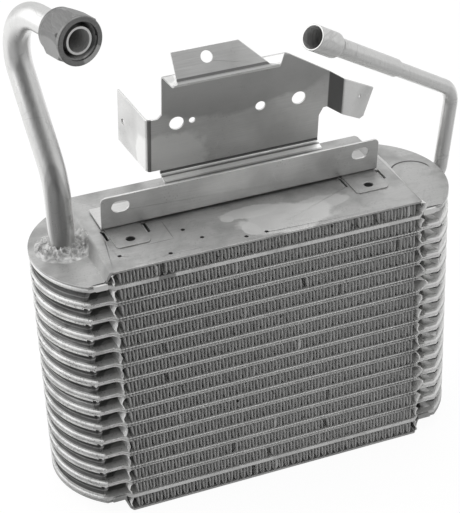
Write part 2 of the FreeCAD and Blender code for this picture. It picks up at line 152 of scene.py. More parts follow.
def buildScratches():  # thin lines in two crossing directions, in clumps
    tree, given, made = newGroup("fineScratches", [
        ("Place", vectorIn, (0, 0, 0)), ("Scale", floatIn, 60), ("Width", floatIn, 0.02)])
    detail = scratchLines["detail"]
    masks = []
    for turn in scratchLines["turns"]:
        rotation = (*scratchLines["tilt"], turn)
        turned = addNode(tree, "ShaderNodeMapping", {"Vector": given["Place"], "Rotation": rotation})
        lines = noiseOf(tree, turned.outputs["Vector"], given["Scale"], detail, scratchLines["stretch"])
        off = maths(tree, "ABSOLUTE", maths(tree, "SUBTRACT", lines, scratchLines["level"]))
        line = ranged(tree, off, 0.0, given["Width"], 1.0, 0.0)
        clumpScale = scratchLines["clumpScale"] + scratchLines["clumpTurn"] * turn
        clumps = noiseOf(tree, given["Place"], clumpScale, detail)
        masks.append(maths(tree, "MULTIPLY", line, ranged(tree, clumps, *scratchLines["clumpBand"])))
    tree.links.new(maths(tree, "MAXIMUM", *masks), made)
    return tree


def buildSpecks():  # small pits and grains of dirt, in clumps
    tree, given, made = newGroup("specks", [
        ("Place", vectorIn, (0, 0, 0)), ("Scale", floatIn, 400), ("Size", floatIn, 0.3),
        ("Amount", floatIn, 0.3)])
    cells = addNode(tree, "ShaderNodeTexVoronoi", {"Vector": given["Place"], "Scale": given["Scale"]})
    core = maths(tree, "MULTIPLY", given["Size"], speckDots["core"])
    dots = ranged(tree, cells.outputs["Distance"], core, given["Size"], 1.0, 0.0)
    clumps = noiseOf(tree, given["Place"], speckDots["clumpScale"], speckDots["clumpDetail"])
    low = maths(tree, "SUBTRACT", speckDots["top"], given["Amount"])
    some = ranged(tree, clumps, low, maths(tree, "ADD", low, speckDots["soft"]))
    tree.links.new(maths(tree, "MULTIPLY", dots, some), made)
    return tree


def buildSpot():  # one stain, painted highlight or painted shade round a point, with a ragged rim
    tree, given, made = newGroup("raggedSpot", [
        ("Place", vectorIn, (0, 0, 0)), ("Centre", vectorIn, (0, 0, 0)), ("Reach", vectorIn, (1, 1, 1)),
        ("Ragged", floatIn, 0.6), ("Scale", floatIn, 120)])
    off = vectorMaths(tree, "SUBTRACT", given["Place"], given["Centre"])
    share = vectorMaths(tree, "DIVIDE", off, given["Reach"])
    length = vectorMaths(tree, "LENGTH", share, result="Value")
    rough = noiseOf(tree, given["Place"], given["Scale"], spotEdge["detail"])
    rough = maths(tree, "SUBTRACT", rough, spotEdge["level"])
    edge = maths(tree, "ADD", length, maths(tree, "MULTIPLY", rough, given["Ragged"]))
    tree.links.new(ranged(tree, edge, *spotEdge["band"], 1.0, 0.0), made)
    return tree


grainGroup = buildGrain()
patchGroup = buildPatches()
scratchGroup = buildScratches()
speckGroup = buildSpecks()
spotGroup = buildSpot()


# Finishes, each made from one look: lengths in mm, tones from 0 to 1 and noise scales per metre

def recessShadeMask(tree, place, cups):  # painted shade on the cups between the belts, with streaks along them
    axes = axesOf(tree, place)
    fromCentre = maths(tree, "ABSOLUTE", axes["X"])
    half = cups["pitch"] / 2 * mm
    level = maths(tree, "ADD", axes["Z"], half - cups["middle"] * mm)
    level = maths(tree, "MODULO", level, 2 * half)
    off = maths(tree, "ABSOLUTE", maths(tree, "SUBTRACT", level, half))
    away = rangedMm(tree, off, cups["beltEdge"])
    joint = rangedMm(tree, off, cups["joint"], 1.0, cups["jointMix"])
    outside = rangedMm(tree, fromCentre, cups["start"])
    right = rangedMm(tree, axes["X"], cups["right"], 1.0, cups["rightMix"])
    streaks = noiseOf(tree, place, cups["streakScale"], cups["streakDetail"], cups["streakStretch"])
    streaks = ranged(tree, streaks, *cups["streakBand"], cups["streakMix"], 1.0)
    rows = maths(tree, "MULTIPLY", away, outside, joint, streaks, right)
    hollow = rangedMm(tree, maths(tree, "ABSOLUTE", axes["Y"]), cups["flank"], 1.0, 0.0)
    beside = rangedMm(tree, fromCentre, cups["beside"], 1.0, 0.0)
    hollow = maths(tree, "MULTIPLY", hollow, outside, beside, cups["hollowMix"])
    ripple = maths(tree, "SINE", maths(tree, "MULTIPLY", axes["X"], 2 * math.pi / (cups["dots"] * mm)))
    inside = rangedMm(tree, fromCentre, cups["dotEnds"], cups["dotMix"], 0.0)
    dots = maths(tree, "MULTIPLY", ranged(tree, ripple, *cups["dotBand"]), inside)
    return maths(tree, "MAXIMUM", rows, dots, hollow)


def arcShadeMask(tree, place, arc):  # a thin painted shade line round the back half of a shallow round blank
    off = vectorMaths(tree, "SUBTRACT", place, [c * mm for c in arc["centre"]])
    flat = vectorMaths(tree, "MULTIPLY", off, (1, 1, 0))
    radius = vectorMaths(tree, "LENGTH", flat, result="Value")
    gap = maths(tree, "ABSOLUTE", maths(tree, "SUBTRACT", radius, arc["radius"] * mm))
    line = rangedMm(tree, gap, (arc["width"] / 2, arc["width"]), 1.0, 0.0)
    behind = rangedMm(tree, axesOf(tree, flat)["Y"], arc["behind"])
    return maths(tree, "MULTIPLY", line, behind)


def extraMarks(tree, place, look, colour):  # the marks, painted light and painted shade that only some of the metals have
    if "fade" in look:  # painted light: lighter metal behind the front edges, lifting the shade between the folds
        fade = look["fade"]
        behind = rangedMm(tree, axesOf(tree, place)["Y"], fade["depth"], 0.0, fade["mix"])
        colour = mixed(tree, behind, colour, fade["tone"])
    if "arc" in look:
        colour = mixed(tree, arcShadeMask(tree, place, look["arc"]), colour, look["arc"]["tone"])
    if "recess" in look:
        colour = mixed(tree, recessShadeMask(tree, place, look["recess"]), colour, look["recess"]["tone"])
    for centre, reach, tone, mix, ragged, scale in look.get("spots", []):
        mask = useGroup(tree, spotGroup, Place=place, Centre=[c * mm for c in centre],
                        Reach=[c * mm for c in reach], Ragged=ragged, Scale=scale)
        colour = mixed(tree, maths(tree, "MULTIPLY", mask, mix), colour, tone)
    return colour


relief = {"cut": -0.6, "lumpDetail": 4, "lumpHeight": 3, "distance": 0.1}  # beside a grain of height 1


def metalFinish(name, look):  # one bare metal finish from its settings
    material = bpy.data.materials.new(name)
    material.use_nodes = True
    tree = material.node_tree
    shader = tree.nodes["Principled BSDF"]
    shader.inputs["Metallic"].default_value = look["metallic"]
    place = addNode(tree, "ShaderNodeTexCoord").outputs["Object"]
    grain = useGroup(tree, grainGroup, Place=place, Stretch=look["stretch"], Scale=look["grainScale"])
    masks = {
        "patch": useGroup(tree, patchGroup, Place=place, Scale=look["patchScale"],
                          Amount=look["patchAmount"]),
        "scratch": useGroup(tree, scratchGroup, Place=place, Scale=look["scratchScale"],
                            Width=look["scratchWidth"]),
        "speck": useGroup(tree, speckGroup, Place=place, Scale=look["speckScale"],
                          Amount=look["speckAmount"]),
    }
    colour = mixed(tree, grain, look["dark"], look["light"])
    for layer, mask in masks.items():
        share = maths(tree, "MULTIPLY", mask, look[layer + "Mix"])
        colour = mixed(tree, share, colour, look[layer + "Tone"])
    colour = extraMarks(tree, place, look, colour)
    tree.links.new(colour, shader.inputs["Base Color"])
    rough = ranged(tree, grain, 0, 1, *look["roughness"])
    rough = maths(tree, "ADD", rough, maths(tree, "MULTIPLY", masks["patch"], look["patchRough"]))
    tree.links.new(rough, shader.inputs["Roughness"])
    cut = maths(tree, "MULTIPLY", maths(tree, "ADD", masks["scratch"], masks["speck"]), relief["cut"])
    height = maths(tree, "ADD", grain, cut)
    if "lumps" in look:
        lumps = noiseOf(tree, place, look["lumps"], relief["lumpDetail"])
        height = maths(tree, "ADD", height, maths(tree, "MULTIPLY", lumps, relief["lumpHeight"]))
    inputs = {"Height": height, "Strength": look["bump"], "Distance": relief["distance"] * mm}
    bump = addNode(tree, "ShaderNodeBump", inputs)
    tree.links.new(bump.outputs["Normal"], shader.inputs["Normal"])
    return material


sheetLook = {
    "dark": 0.50, "light": 0.57, "metallic": 0.8, "roughness": (0.4, 0.52),
    "stretch": (0.03, 1, 1), "grainScale": 1500,
    "patchScale": 26, "patchAmount": 0.3, "patchTone": 0.46, "patchMix": 0.5, "patchRough": 0.08,
    "scratchScale": 55, "scratchWidth": 0.012, "scratchTone": 0.42, "scratchMix": 0.5,
    "speckScale": 420, "speckAmount": 0.3, "speckTone": 0.3, "speckMix": 0.4, "bump": 0.2,
}

# Each spot is its centre, reach, tone, mix, raggedness and the scale of its rim's noise
plateSpots = [
    ((20, -38, 211), (38, 22, 30), 0.76, 0.8, 0.7, 70),  # the pale stain
    ((-2, -19, 211), (24, 9, 30), 0.76, 0.8, 0.7, 90),
    ((-20, -22, 211), (5, 5, 30), 0.76, 0.8, 0.7, 150),
    ((-9, -42, 211), (7, 10, 30), 0.76, 0.8, 0.9, 110),
    ((50, -28, 211), (26, 10, 30), 0.72, 0.5, 1.2, 60),
    ((-66, -25, 211), (22, 16, 30), 0.40, 0.25, 1.6, 50),  # a duller patch
    ((-93, -20, plateTop), (3.7, 3.7, 2), 0.01, 1.0, 0.1, 120),  # painted shade on the plate under the feet's screw holes
    ((93, -20, plateTop), (3.7, 3.7, 2), 0.01, 1.0, 0.1, 120),
    ((-64.4, -18, plateTop), (0.5, 14, 2), 0.2, 0.6, 0.3, 120),  # scribed lines
    ((-75, -31.3, plateTop), (11, 0.5, 2), 0.2, 0.6, 0.3, 120),
    ((-125, -52.2, capTop), (9, 0.7, 2), 0.03, 1.0, 0.2, 120),  # painted shadow lines behind the caps' lips
    ((129, -52.2, capTop), (9, 0.7, 2), 0.03, 1.0, 0.2, 120),
    ((-127, -54.6, 198.6), (8, 1.2, 4), 0.92, 0.9, 0.2, 120),  # painted highlights on the lips' faces
    ((127, -54.6, 198.6), (8, 1.2, 4), 0.92, 0.9, 0.2, 120),
]
pinHoles = [(-107.1, -38.1), (-73.1, -49.4), (-54.4, -22.5), (-45.5, -37.9), (-16.4, -50.2), (-0.8, -50.0)]
# painted shade in and round the pin holes
plateSpots += [((x, y, plateTop), (1.7, 1.7, 2), 0.06, 0.9, 0.4, 300) for x, y in pinHoles]
plateLook = dict(
    sheetLook, dark=0.46, light=0.54, patchScale=48, patchMix=0.7, patchTone=0.29, scratchMix=0.35,
    scratchTone=0.36, speckAmount=0.4, speckMix=0.5, spots=plateSpots,
    # arc: a painted shade line round the back half of the blank
    arc={"centre": (140, 3.5, 0), "radius": 15.5, "width": 0.7, "behind": (-1, 4), "tone": 0.12})
# painted shade in the recesses between the belts, streaked, weaker at the joints and on the right
tubeRecessShade = {
    "pitch": tubePitch, "middle": firstMiddle, "tone": 0.10, "start": (118, 120),
    "beltEdge": (beltHeight / 2 - 0.1, beltHeight / 2 + 0.3),
    "joint": (tubePitch / 2 - 0.8, tubePitch / 2), "jointMix": 0.55, "right": (-10, 10), "rightMix": 0.3,
    "streakScale": 260, "streakDetail": 3, "streakStretch": (0.25, 0.25, 1.6), "streakBand": (0.3, 0.7),
    "streakMix": 0.8, "flank": (45.0, 46.5), "beside": (133, 135), "hollowMix": 0.65,  # painted shade in the open necks
    "dots": 2.6, "dotEnds": (116, 118), "dotBand": (-0.3, 0.7), "dotMix": 0.5,  # painted shade dots in the gaps between the fins
}
tubeLook = dict(
    sheetLook, dark=0.78, light=0.88, metallic=0.7, roughness=(0.46, 0.6), stretch=(1, 1, 0.2),
    grainScale=700, patchScale=60, patchTone=0.5, patchMix=0.6, speckScale=460, speckAmount=0.5,
    speckTone=0.12, speckMix=0.6, bump=0.3, recess=tubeRecessShade, spots=[
        ((0, -58, 105), (119, 3.5, 400), 0.98, 0.5, 0.05, 60),  # painted highlight on the front rims between the tanks
        ((146, -36, 105), (28, 34, 400), 0.98, 0.6, 0.2, 60),  # painted light on the right tank's front
        ((-122, -50, 105), (8, 10, 400), 0.95, 0.45, 0.3, 60),  # painted highlight on the left tank's inner corner
    ])
endTubeLook = dict(
    tubeLook, dark=0.74, light=0.82, speckMix=0.2, recess=dict(tubeRecessShade, dotMix=0.0),
    spots=[((-79, -57, 198), (7, 6, 6), 0.2, 0.8, 0.8, 120)])  # a dark mark on the top rim
finLook = dict(
    sheetLook, dark=0.34, light=0.41, metallic=0.35, roughness=(0.42, 0.58), stretch=(1, 1, 1),
    grainScale=500, patchScale=70, patchTone=0.46, patchMix=0.35, bump=0.3,
    # fade: painted light behind the front edges, deep between the folds
    fade={"depth": (-57.5, -54.0), "tone": 0.78, "mix": 0.85},
    # spots: painted highlights on the rows' outer legs at the front
    spots=[((side * 123, -57, 105), (6, 8, 300), 0.95, 0.9, 0.2, 90) for side in (-1, 1)])
bracketSpots = [
    ((10, 42, 290), (95, 14, 28), 0.36, 0.6, 0.7, 40),  # painted shade on the web's upper part
    ((-40, 47, 232), (34, 20, 26), 0.9, 0.6, 0.9, 60),  # painted light on the web's lower left
    ((93.7, 45, 265), (6.2, 80, 80), 0.15, 1.0, 0.02, 60),  # painted shade on the arm's strip
    ((-54.8, 45, 265), (1.5, 90, 90), 0.12, 0.85, 0.1, 60),  # painted shade line along the wing's bend
    ((-42, 26, 305.8), (6, 9, 2), 0.42, 0.7, 0.3, 60),  # a darker patch on the shelf
    ((0, 19.0, 307.7), (300, 1.1, 1.1), 0.14, 0.8, 0.2, 120),  # painted shade and painted highlight lines along the folds
    ((0, 18.0, 305.4), (300, 0.9, 0.9), 0.97, 0.9, 0.1, 120),
    ((0, 47.0, 221.8), (300, 1.1, 1.1), 0.10, 0.9, 0.1, 120),
    ((0, 45.9, 220.2), (300, 0.8, 0.8), 0.97, 0.9, 0.1, 120),
    ((0, 43.9, 219.6), (300, 0.8, 0.8), 0.16, 0.8, 0.1, 120),
    ((0, 40.9, 218.8), (300, 2.2, 1.5), 0.97, 0.9, 0.2, 120),
    ((0, 37.0, 217.6), (300, 0.9, 0.9), 0.20, 0.8, 0.1, 120),
]
bracketLook = dict(
    sheetLook, dark=0.60, light=0.68, metallic=0.85, roughness=(0.34, 0.46), patchTone=0.44, patchMix=0.5,
    patchScale=30, scratchTone=0.74, scratchMix=0.35, spots=bracketSpots)
railLook = dict(bracketLook, dark=0.64, light=0.72, patchScale=38, patchTone=0.46, spots=[])
pipeLook = dict(
    sheetLook, dark=0.64, light=0.70, metallic=0.95, roughness=(0.27, 0.34), stretch=(1, 1, 0.08),
    grainScale=700, patchScale=30, patchTone=0.56, patchMix=0.3, speckMix=0.2, bump=0.03, spots=[
        ((-140.5, -3, 238), (9.5, 9, 46), 0.32, 0.5, 0.3, 60),  # painted dark reflection on the suction tube's foot
        ((-141, -4, 232), (7.5, 7, 36), 0.2, 0.45, 0.3, 60),
    ])
boreLook = dict(pipeLook, spots=[], dark=0.32, light=0.55, metallic=0.2, roughness=(0.5, 0.7), bump=0.3)
nutLook = dict(
    sheetLook, dark=0.17, light=0.23, metallic=0.85, roughness=(0.34, 0.46), stretch=(1, 0.1, 1),
    grainScale=900, patchTone=0.15, bump=0.15, spots=[
        ((-114, -44.5, 369), (9, 7, 8), 0.45, 0.8, 0.4, 90),  # a painted highlight on the face by the mouth
        ((-141.0, -33, 373.5), (6.5, 20, 11), 0.34, 0.6, 0.1, 90),  # painted light on the left flats
    ])
fillerLook = dict(
    sheetLook, dark=0.50, light=0.72, metallic=0.5, roughness=(0.4, 0.6), stretch=(1, 1, 1),
    grainScale=260, patchScale=140, patchTone=0.16, patchMix=0.75, speckMix=0.6, bump=0.9, lumps=300)
finishes = {
    "plate": metalFinish("millPlate", plateLook),
    "tube": metalFinish("brazedPlates", tubeLook),
    "endTube": metalFinish("thickEndPlates", endTubeLook),
    "fin": metalFinish("finFoil", finLook),
    "bracket": metalFinish("rolledBracket", bracketLook),
    "rail": metalFinish("rolledRail", railLook),
    "pipe": metalFinish("drawnPipe", pipeLook),
    "bore": metalFinish("pipeBore", boreLook),
    "nut": metalFinish("turnedNut", nutLook),
    "filler": metalFinish("roughFiller", fillerLook),
}
print("finishes made")


# Helpers for meshes

cleaning = {"merge": 0.003, "flatAngle": 0.5}  # in mm and degrees
boreWall = {"inside": 0.5, "past": 0.5, "slant": 0.5}  # in mm, and the slant as a share


def finishPiece(bm, name, finish, nodes, sharp=50, flatFaces=True, inside=None):
    mesh = bpy.data.meshes.new(name)
    bm.to_mesh(mesh)
    bm.free()
    mesh.shade_smooth()
    mesh.set_sharp_from_angle(angle=math.radians(sharp))
    mesh.materials.append(finishes[finish])
    if inside:
        mesh.materials.append(finishes[inside])
    piece = bpy.data.objects.new(name, mesh)
    scene.collection.objects.link(piece)
    if flatFaces:
        weighted = piece.modifiers.new("flatFaces", "WEIGHTED_NORMAL")
        weighted.weight = 100  # the large faces set the normals
        weighted.keep_sharp = True
    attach(piece, "root")
    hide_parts(*nodes)
    return piece


def mergedCopy(node, dissolve=True):
    bm = bmesh.new()
    bm.from_mesh(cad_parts[node].data)
    bmesh.ops.remove_doubles(bm, verts=bm.verts, dist=cleaning["merge"] * mm)
    if dissolve:
        flatAngle = math.radians(cleaning["flatAngle"])
        bmesh.ops.dissolve_limit(bm, angle_limit=flatAngle, verts=bm.verts, edges=bm.edges)
    return bm


def sharpEdges(bm, least, keep):
    found = []
    for edge in bm.edges:
        if len(edge.link_faces) == 2 and edge.calc_face_angle(0) > math.radians(least):
            if keep is None or keep(edge):
                found.append(edge)
    return found


def soften(bm, width, segments=2, least=40, keep=None):
    bmesh.ops.bevel(bm, geom=sharpEdges(bm, least, keep), offset=width, offset_type="OFFSET",
                    segments=segments, profile=0.5, affect="EDGES", material=-1, clamp_overlap=False,
                    loop_slide=True)


def edgesIn(geometry):
    return [part for part in geometry if isinstance(part, bmesh.types.BMEdge)]


def extrudeAlong(bm, edges, step):
    made = bmesh.ops.extrude_edge_only(bm, edges=edges)["geom"]
    verts = [part for part in made if isinstance(part, bmesh.types.BMVert)]
    bmesh.ops.translate(bm, verts=verts, vec=step)
    return [edge for edge in edgesIn(made) if all(vert in verts for vert in edge.verts)]


def facing(start, direction):
    return Matrix.Translation(start) @ direction.to_track_quat("Z", "Y").to_matrix().to_4x4()


def bentPipe(bm, points, radii, rings, around=48, stepAngle=4):  # rings carried along straights and bends
    for radius in rings:
        bmesh.ops.create_circle(bm, segments=around, radius=radius, cap_ends=False,
                                matrix=facing(points[0], points[1] - points[0]))
    edges = [edge for edge in bm.edges if not edge.link_faces]
    bmesh.ops.bridge_loops(bm, edges=edges)
    here = points[0]
    for index, radius in enumerate(radii):
        corner = points[index + 1]
        back = (points[index] - corner).normalized()
        ahead = (points[index + 2] - corner).normalized()
        half = back.angle(ahead) / 2
        reach = radius / math.tan(half)
        edges = extrudeAlong(bm, edges, corner + back * reach - here)
        centre = corner + (back + ahead).normalized() * (radius / math.sin(half))
        axis = ahead.cross(back).normalized()
        turn = math.pi - 2 * half
        steps = max(2, round(math.degrees(turn) / stepAngle))
        made = bmesh.ops.spin(bm, geom=edges, cent=centre, axis=axis, dvec=(0, 0, 0), angle=turn,
                              steps=steps, use_merge=False)
        edges = edgesIn(made["geom_last"])
        here = corner + ahead * reach
    edges = extrudeAlong(bm, edges, points[-1] - here)
    bmesh.ops.bridge_loops(bm, edges=edges)


def drawnLoop(bm, corners, place):  # a closed outline of radius and height, set beside its axis
    verts = [bm.verts.new(place @ Vector((radius, 0, height))) for radius, height in corners]
    edges = [bm.edges.new((verts[k - 1], verts[k])) for k in range(len(verts))]
    return verts, edges


def lathe(bm, profile, start, axis, steps=64):  # an outline turned about the axis
    verts, edges = drawnLoop(bm, profile, facing(start, axis))
    bmesh.ops.spin(bm, geom=verts + edges, cent=start, axis=axis, dvec=(0, 0, 0), angle=2 * math.pi,
                   steps=steps, use_merge=True)


def markBore(bm, mouth, axis, outer, depth):  # the wall inside an open end gets the second finish
    radius = outer - boreWall["inside"] * mm
    for face in bm.faces:
        off = face.calc_center_median() - mouth
        along = off.dot(axis)
        within = -depth < along < boreWall["past"] * mm and (off - axis * along).length < radius
        if within and abs(face.normal.dot(axis)) < boreWall["slant"]:
            face.material_index = 1


def inMetres(*values):
    return Vector(values) * mm


# Sheet pieces: side plates, feet, rail and bracket

sheets = {  # node, finish, slot and the width of the softened edges in mm
    "topSidePlate": ("top_side_plate", "plate", "side_plate", 0.3),
    "bottomSidePlate": ("bottom_side_plate", "plate", "side_plate", 0.3),
    "railFootLeft": ("rail_foot_left", "plate", "side_plate", 0.2),
    "railFootRight": ("rail_foot_right", "plate", "side_plate", 0.2),
    "mountingRail": ("mounting_rail", "rail", "bracket_sheet", 0.25),
    "valveBracket": ("valve_bracket", "bracket", "bracket_sheet", 0.25),
}
footCorner = {"front": -29.0, "cut": 6.0, "kept": 2.2, "near": 0.05}


def squareCorners(bm):  # the feet have tighter front corners than the solids
    front, near = footCorner["front"] * mm, footCorner["near"] * mm
    xs = [vert.co.x for vert in bm.verts]
    middle = (min(xs) + max(xs)) / 2
    shift = (footCorner["cut"] - footCorner["kept"]) * mm
    for vert in bm.verts:
        if abs(vert.co.y - front) < near:
            vert.co.x += math.copysign(shift, vert.co.x - middle)
        elif abs(vert.co.y - front - footCorner["cut"] * mm) < near:
            vert.co.y -= shift


def sheetPiece(name, node, finish, slotName, width):
    bm = mergedCopy(node, False)
    if "Foot" in name:
        squareCorners(bm)
    soften(bm, width * mm)
    finishPiece(bm, name, finish, [node])


for name, settings in sheets.items():
    sheetPiece(name, *settings)
print("sheet pieces made")


# Tubes: rounded belts with a seam, and a groove between the rims of the two plates

tubes = {
    "count": 15, "neck": 133.9, "edgeAngle": 60, "beltRound": 1.3, "beltSegments": 4, "plateRound": 0.3,
    "plateSegments": 2, "seamShare": 0.33, "seamWidth": 0.5, "seamDepth": 0.35, "grooveWidth": 1.2,
    "grooveDepth": 2.2, "tankCentre": 94.3, "beltCorner": (133.8, 135.75), "cupCorner": (135.6, 137.6),
    "leftShift": (0.0, 5.0), "rightShift": (8.5, 10.0), "cornerTurn": 1.2,
    "grooveCuts": (-0.5, -0.25, 0.25, 0.5), "grooveFloor": 0.3,  # shares of a groove's width
}
nearTube = {"level": 0.001, "belt": 0.01, "rim": 0.1, "cut": 1e-4}  # how close in mm counts as there


def cutLevel(bm, z):
    bmesh.ops.bisect_plane(bm, geom=bm.verts[:] + bm.edges[:] + bm.faces[:],
                           dist=nearTube["cut"] * mm, plane_co=(0, 0, z), plane_no=up)


def beyondNeck(x):
    return x < -tubes["neck"] * mm or x > (tubes["neck"] - tubes["rightShift"][0]) * mm


def pressedGroove(bm, z, width, depth, onBelt):
    for share in tubes["grooveCuts"]:
        cutLevel(bm, z + share * width)
    for vert in bm.verts:
        if abs(vert.co.z - z) > tubes["grooveFloor"] * width:
            continue
        outside = beyondNeck(vert.co.x)
        if outside and onBelt:
            centre = Vector((math.copysign(tubes["tankCentre"] * mm, vert.co.x), 0, vert.co.z))
            vert.co += (centre - vert.co).normalized() * depth
        elif not outside and not onBelt:
            vert.co.y -= math.copysign(depth, vert.co.y)


def easedCorners(bm, middle):  # the inner corners of belts and cups run on towards the core
    for vert in bm.verts:
        x = abs(vert.co.x) / mm
        beltShift, cupShift = tubes["leftShift"] if vert.co.x < 0 else tubes["rightShift"]
        onCup = abs(vert.co.z - middle) > (beltHeight / 2 + nearTube["belt"]) * mm
        near, far = tubes["cupCorner"] if onCup else tubes["beltCorner"]
        if near < x < far:
            vert.co.x -= math.copysign((cupShift if onCup else beltShift) * mm, vert.co.x)
            if onCup and x < (near + far) / 2:
                vert.co.y -= math.copysign(tubes["cornerTurn"] * mm, vert.co.y)


def levelRim(edge):
    rise = abs(edge.verts[0].co.z - edge.verts[1].co.z)
    return rise < nearTube["level"] * mm and edge.is_convex


def plateTube(row):
    node = "tube_%02d" % row
    middle = (firstMiddle + (row - 1) * tubePitch) * mm
    beltHalf = beltHeight / 2 * mm
    plain = row in (1, tubes["count"])
    bm = mergedCopy(node)
    easedCorners(bm, middle)
    if not plain:
        seam = middle - beltHalf + tubes["seamShare"] * 2 * beltHalf
        pressedGroove(bm, seam, tubes["seamWidth"] * mm, tubes["seamDepth"] * mm, True)
        pressedGroove(bm, middle, tubes["grooveWidth"] * mm, tubes["grooveDepth"] * mm, False)

    def beltRim(edge):
        z = (edge.verts[0].co.z + edge.verts[1].co.z) / 2
        out = all(beyondNeck(vert.co.x) for vert in edge.verts)
        return levelRim(edge) and out and abs(z - middle) < beltHalf + nearTube["rim"] * mm

    def plateRim(edge):
        return levelRim(edge) and not any(beyondNeck(vert.co.x) for vert in edge.verts)

    soften(bm, tubes["beltRound"] * mm, tubes["beltSegments"], tubes["edgeAngle"], beltRim)
    soften(bm, tubes["plateRound"] * mm, tubes["plateSegments"], tubes["edgeAngle"], plateRim)
    finishPiece(bm, "tubePlates_%02d" % row, "endTube" if plain else "tube", [node])


for row in range(1, tubes["count"] + 1):
    plateTube(row)
print("tubes made")


# Fins: one thin sheet per row, folded to and fro

fins = {
    "count": 16, "folds": 45, "steps": 16, "foil": 0.18, "upright": 0.88, "crest": 0.5, "depthSteps": 6,
    "wave": 0.12, "bulge": 0.15, "bulgeTurns": 3, "lean": 0.75, "leanSpread": 0.12, "frontShare": 0.001,
    "frontWave": 0.2, "frontScale": 300, "crowding": 2.6, "bentShare": 0.025, "bentReach": 1.2,
    "creaseAngle": 60,
}
endLegs = {
    "reach": (3.2, 6.0), "least": 0.55, "round": 0.4, "across": 0.35, "acrossTurns": (5, 4),
    "inward": 0.3, "inwardTurns": 9,
}


def legsOf(draw):  # each leg's wave, bulge and lean, with a few bent ones
    legs = []
    for k in range(2 * fins["folds"] + 2):
        lean = fins["lean"] + fins["leanSpread"] * draw.uniform(-1, 1)
        if draw.random() < fins["bentShare"]:
            lean += fins["bentReach"] * draw.uniform(-1, 1)
        legs.append((draw.uniform(-1, 1), draw.uniform(-1, 1), lean))
    return legs


def endWave(side, swing, share, row):  # the uneven bulge of a row's outer leg, about 1
    phase = (row, -row)[side]
    across = endLegs["across"] * math.sin(endLegs["acrossTurns"][side] * swing + phase)
    inward = endLegs["inward"] * math.sin(endLegs["inwardTurns"] * share + phase)
    return 1 + across + inward


def foldedFin(row):
    node = "fin_row_%02d" % row
    low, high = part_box(node)
    draw = random.Random(row)
    pitch = (high.x - low.x) / fins["folds"]
    legs = legsOf(draw)
    ends = [reach * draw.uniform(endLegs["least"], 1.0) for reach in endLegs["reach"]]
    bm = bmesh.new()
    bmesh.ops.create_grid(bm, x_segments=fins["folds"] * fins["steps"], y_segments=fins["depthSteps"],
                          size=0.5)
    half = (high.z - low.z) / 2 - fins["foil"] * mm / 2
    for vert in bm.verts:
        turn = (vert.co.x + 0.5) * fins["folds"]
        share = (vert.co.y + 0.5) ** fins["crowding"]
        swing = math.cos(2 * math.pi * turn)
        arch = 1 - swing * swing
        wave, bulge, lean = legs[int(2 * turn)]
        bulge *= math.sin(fins["bulgeTurns"] * swing + row)
        x = low.x + pitch * (turn + fins["upright"] * math.sin(4 * math.pi * turn) / (4 * math.pi))
        x += arch * mm * (fins["wave"] * wave + fins["bulge"] * bulge)
        y = low.y + share * (high.y - low.y)
        z = (low.z + high.z) / 2 - half * math.copysign(abs(swing) ** fins["crest"], swing)
        if share < fins["frontShare"]:  # the front edge of each leg leans over
            x += arch * mm * lean
            y += fins["frontWave"] * mm * (1 + noise.noise(Vector((x, z, row)) * fins["frontScale"]))
        x = min(max(x, low.x), high.x)
        rounded = arch ** endLegs["round"] * mm
        if turn < 0.5:  # the outer legs bulge into the open necks
            x -= rounded * ends[0] * endWave(0, swing, share, row)
        if turn > fins["folds"] - 0.5:
            x += rounded * ends[1] * endWave(1, swing, share, row)
        vert.co = (x, y, z)
    bmesh.ops.solidify(bm, geom=bm.faces[:], thickness=fins["foil"] * mm)
    finishPiece(bm, "finFolds_%02d" % row, "fin", [node], fins["creaseAngle"], False)


for row in range(1, fins["count"] + 1):
    foldedFin(row)
print("fins made")


# Suction tube with its bead, the nut and its thread

suction = {
    "route": [(-136.6, 5.2, 200.3), (-136.6, 5.2, 257.4), (-151.1, 59.8, 378.3), (-123.4, -42.4, 380.4)],
    "bends": (69.0, 35.9), "outer": 9.525, "bore": 8.0, "straight": 50.0, "bead": 12.2,
    "beadLength": 2.4, "beadSunk": 0.2,
}
nut = {
    "length": 28.0, "overhang": 2.0, "wall": 8.0, "edge": 0.25, "threadStart": 1.0, "threadSpare": 3.0,
    "thread": 13.2, "threadSunk": 0.1, "threadDepth": 0.9, "threadPitch": 1.6, "threadSteps": 40,
    "crest": 0.45, "foot": 0.9,
}
route = [inMetres(*point) for point in suction["route"]]
mouth = route[-1]
nutAxis = (mouth - route[-2]).normalized()
nutRear = mouth + nutAxis * (nut["overhang"] - nut["length"]) * mm


def suctionPipe():
    bm = bmesh.new()
    bends = [radius * mm for radius in suction["bends"]]
    bentPipe(bm, route, bends, (suction["outer"] * mm, suction["bore"] * mm))
    bead, inner = suction["bead"] * mm, (suction["outer"] - suction["beadSunk"]) * mm
    length = suction["beadLength"] * mm
    lathe(bm, [(inner, 0), (bead, 0), (bead, length), (inner, length)],
          nutRear + nutAxis * nut["wall"] * mm, nutAxis)
    bmesh.ops.recalc_face_normals(bm, faces=bm.faces)
    markBore(bm, mouth, nutAxis, suction["outer"] * mm, suction["straight"] * mm)
    finishPiece(bm, "suctionPipe", "pipe", ["suction_tube"], inside="bore")


def suctionNut():
    bm = mergedCopy("suction_nut")
    soften(bm, nut["edge"] * mm)
    finishPiece(bm, "suctionNut", "nut", ["suction_nut"])


